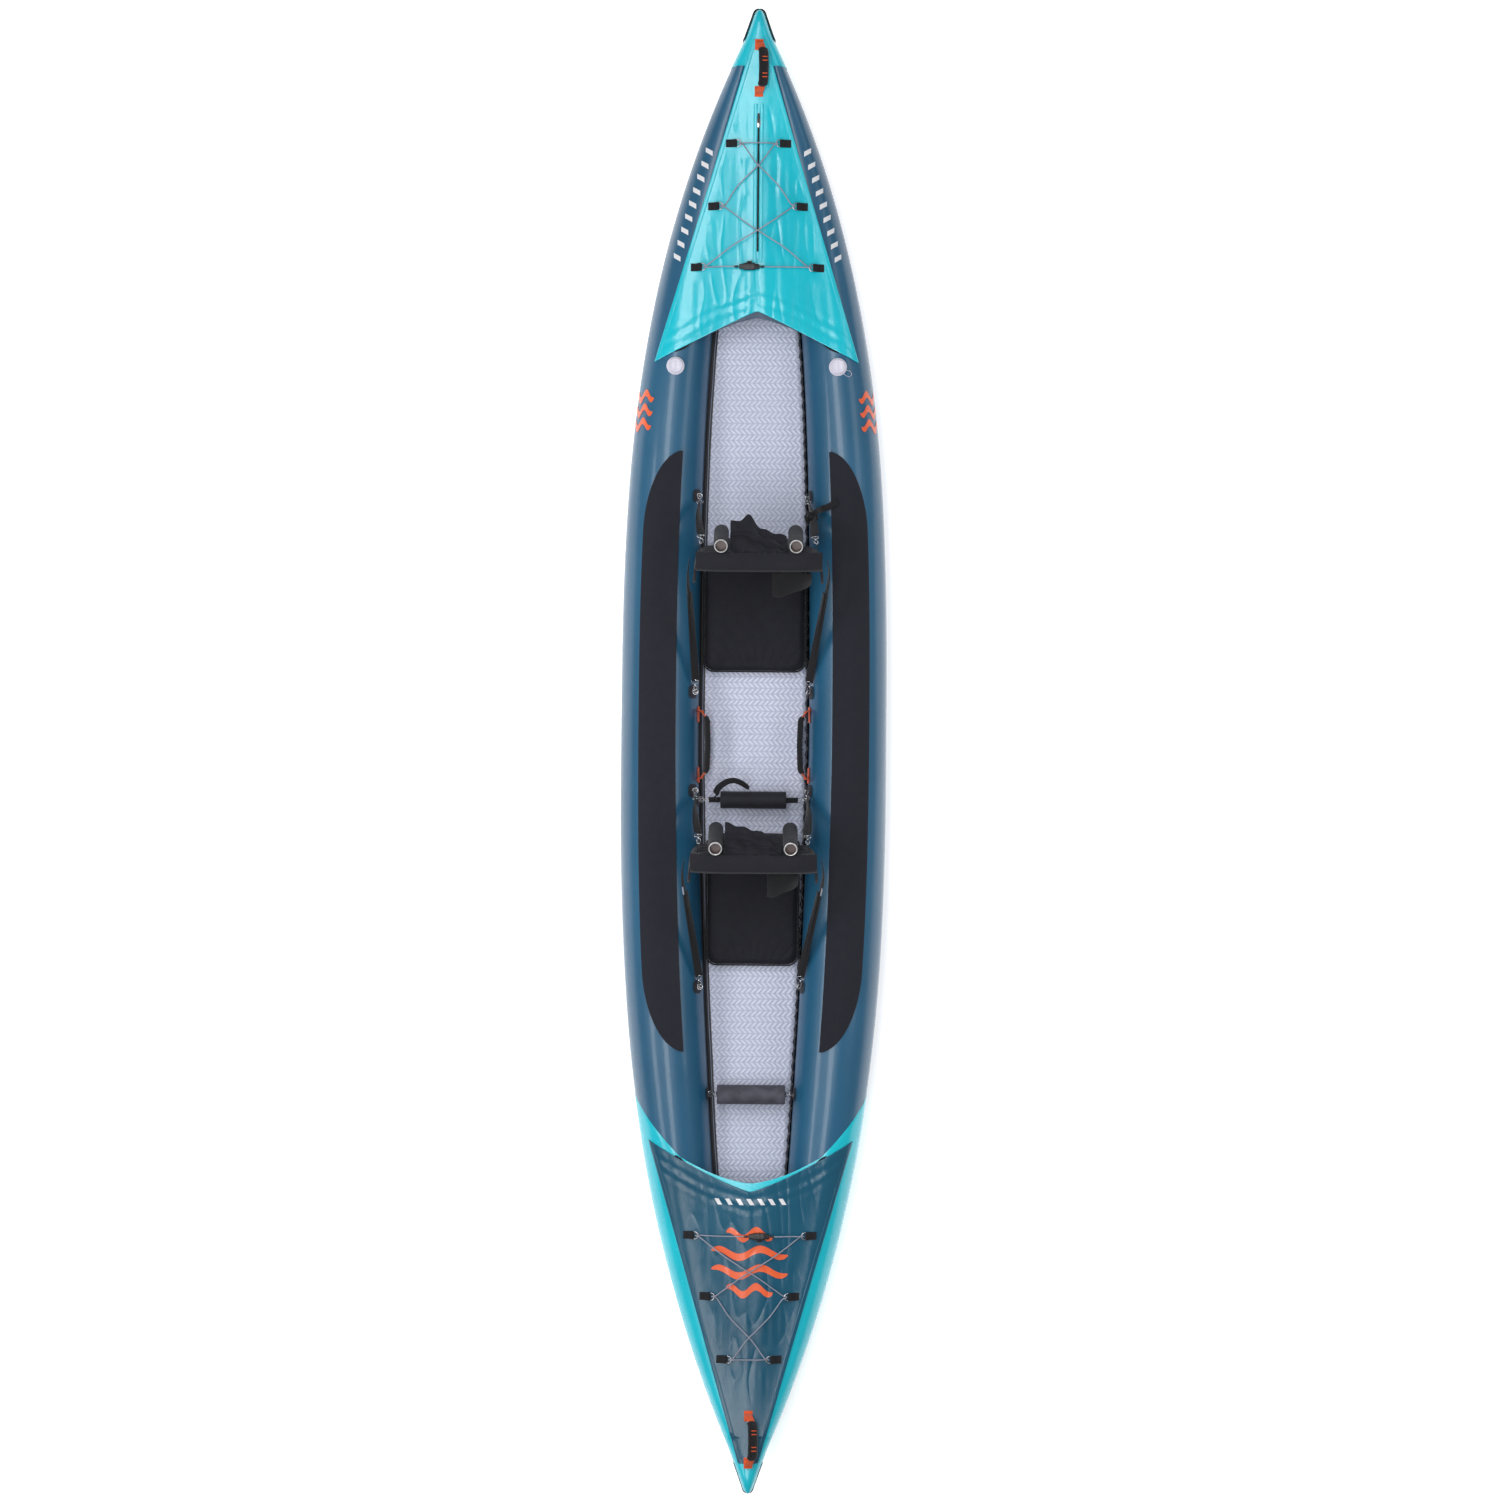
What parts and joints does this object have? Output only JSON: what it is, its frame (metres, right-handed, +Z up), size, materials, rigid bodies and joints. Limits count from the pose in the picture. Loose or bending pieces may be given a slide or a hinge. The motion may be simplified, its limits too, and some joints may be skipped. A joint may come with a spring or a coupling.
{
  "type": "inflatable kayak",
  "caption": "Long slim inflatable touring kayak for paddlers in line: two side tubes on a flat floor, pointed fabric decks with laced cords, folding seats, foot rollers and carry handles.",
  "frame": {"origin": "on the ground under the middle of the hull", "axes": "+Z up, +Y towards the stern, -Y towards the bow, +X to the paddlers' left (port)"},
  "size_m": [0.85, 4.713, 0.517],
  "materials": {
    "pvc_blue": "satin",
    "pvc_blue_gloss": "gloss",
    "pvc_teal": "gloss",
    "floor_grey": "matte",
    "hull_black": "satin",
    "chafe_black": "matte",
    "steel": "polished",
    "cord_grey": "matte",
    "plastic_black": "satin",
    "webbing_black": "matte",
    "webbing_orange": "matte",
    "grip_rubber": "matte",
    "rod_holder_silver": "satin",
    "seat_fabric": "matte",
    "foam_black": "matte",
    "foam_grey": "matte",
    "valve_white": "satin"
  },
  "bodies": {
    "hull": {"aft_footrest_strap": "webbing_black", "aft_seat_pad": "seat_fabric", "aft_seat_strap_port": "webbing_black", "aft_seat_strap_starboard": "webbing_black", "bow_bungee": "cord_grey", "bow_cord_lock": "plastic_black", "bow_deck": "pvc_blue_gloss", "bow_handle_base": "webbing_orange", "bow_nose": "pvc_teal", "bow_ring_a_port": "steel", "bow_ring_a_starboard": "steel", "bow_ring_b_port": "steel", "bow_ring_b_starboard": "steel", "bow_ring_c_port": "steel", "bow_ring_c_starboard": "steel", "chafe_pad_port": "chafe_black", "chafe_pad_starboard": "chafe_black", "floor_panel": "floor_grey", "fore_footrest_strap": "webbing_black", "fore_seat_pad": "seat_fabric", "fore_seat_strap_port": "webbing_black", "fore_seat_strap_starboard": "webbing_black", "hull_bottom_skin": "hull_black", "port_handle_base": "webbing_orange", "starboard_handle_base": "webbing_orange", "stern_bungee": "cord_grey", "stern_cord_lock": "plastic_black", "stern_deck": "pvc_teal", "stern_handle_base": "webbing_orange", "stern_nose": "pvc_teal", "stern_ring_a_port": "steel", "stern_ring_a_starboard": "steel", "stern_ring_b_port": "steel", "stern_ring_b_starboard": "steel", "stern_ring_c_port": "steel", "stern_ring_c_starboard": "steel", "stern_zip_tape": "webbing_black", "tube_port": "pvc_blue", "tube_starboard": "pvc_blue", "valve_body_port": "valve_white", "valve_body_starboard": "valve_white"},
    "aft_back": {"aft_seat_back": "seat_fabric", "aft_seat_wrap": "seat_fabric", "aft_rod_holder_port": "rod_holder_silver", "aft_rod_holder_starboard": "rod_holder_silver"},
    "fore_back": {"fore_seat_back": "seat_fabric", "fore_seat_wrap": "seat_fabric", "fore_rod_holder_port": "rod_holder_silver", "fore_rod_holder_starboard": "rod_holder_silver"},
    "aft_roller": {"aft_footrest_roller": "foam_black"},
    "fore_roller": {"fore_footrest_roller": "foam_grey"},
    "stern_handle": {"stern_handle_grip": "grip_rubber"},
    "bow_handle": {"bow_handle_grip": "grip_rubber"},
    "port_handle": {"port_handle_grip": "grip_rubber"},
    "starboard_handle": {"starboard_handle_grip": "grip_rubber"},
    "port_valve_cap": {"valve_cap_port": "valve_white"},
    "starboard_valve_cap": {"valve_cap_starboard": "valve_white"},
    "zip_slider": {"stern_zip_slider": "plastic_black"},
    "stern_lock_plunger": {"stern_lock_button": "plastic_black"},
    "bow_lock_plunger": {"bow_lock_button": "plastic_black"}
  },
  "joints": [
    {"name": "aft_seat_back_fold", "type": "hinge", "parent": "hull", "child": "aft_back", "pos_m": [0.01, 0.664, 0.168], "axis": [1, 0, 0], "range_deg": [-38, 70], "deforming": ["aft_seat_strap_port", "aft_seat_strap_starboard", "aft_seat_wrap"]},
    {"name": "fore_seat_back_fold", "type": "hinge", "parent": "hull", "child": "fore_back", "pos_m": [0, -0.276, 0.168], "axis": [1, 0, 0], "range_deg": [-38, 70], "deforming": ["fore_seat_strap_port", "fore_seat_strap_starboard", "fore_seat_wrap"]},
    {"name": "aft_footrest_spin", "type": "hinge", "parent": "hull", "child": "aft_roller", "pos_m": [0, -0.155, 0.17], "axis": [1, 0, 0], "continuous": true},
    {"name": "fore_footrest_spin", "type": "hinge", "parent": "hull", "child": "fore_roller", "pos_m": [0, -1.096, 0.17], "axis": [1, 0, 0], "continuous": true},
    {"name": "stern_handle_swing", "type": "hinge", "parent": "hull", "child": "stern_handle", "pos_m": [0, 2.171, 0.25877], "axis": [0, 0.9895, 0.1447], "range_deg": [-90, 40]},
    {"name": "bow_handle_swing", "type": "hinge", "parent": "hull", "child": "bow_handle", "pos_m": [0, -2.185, 0.26193], "axis": [0, 0.9871, -0.1602], "range_deg": [-90, 40]},
    {"name": "port_handle_swing", "type": "hinge", "parent": "hull", "child": "port_handle", "pos_m": [0.17395, 0.021, 0.17631], "axis": [0, 1, 0], "range_deg": [-20, 90]},
    {"name": "starboard_handle_swing", "type": "hinge", "parent": "hull", "child": "starboard_handle", "pos_m": [-0.17395, 0.021, 0.17631], "axis": [0, -1, 0], "range_deg": [-20, 90]},
    {"name": "port_valve_cap_open", "type": "hinge", "parent": "hull", "child": "port_valve_cap", "pos_m": [0.23482, 1.225, 0.23252], "axis": [0, -1, 0], "range_deg": [0, 150]},
    {"name": "starboard_valve_cap_open", "type": "hinge", "parent": "hull", "child": "starboard_valve_cap", "pos_m": [-0.23482, 1.225, 0.23252], "axis": [0, 1, 0], "range_deg": [0, 150]},
    {"name": "zip_slide", "type": "slide", "parent": "hull", "child": "zip_slider", "axis": [0, -0.9999, 0.015], "range_m": [0, 0.36]},
    {"name": "stern_lock_press", "type": "slide", "parent": "hull", "child": "stern_lock_plunger", "axis": [0, -1, 0], "range_m": [0, 0.004], "stiffness_N_per_m": 400},
    {"name": "bow_lock_press", "type": "slide", "parent": "hull", "child": "bow_lock_plunger", "axis": [0, 1, 0], "range_m": [0, 0.004], "stiffness_N_per_m": 400}
  ]
}
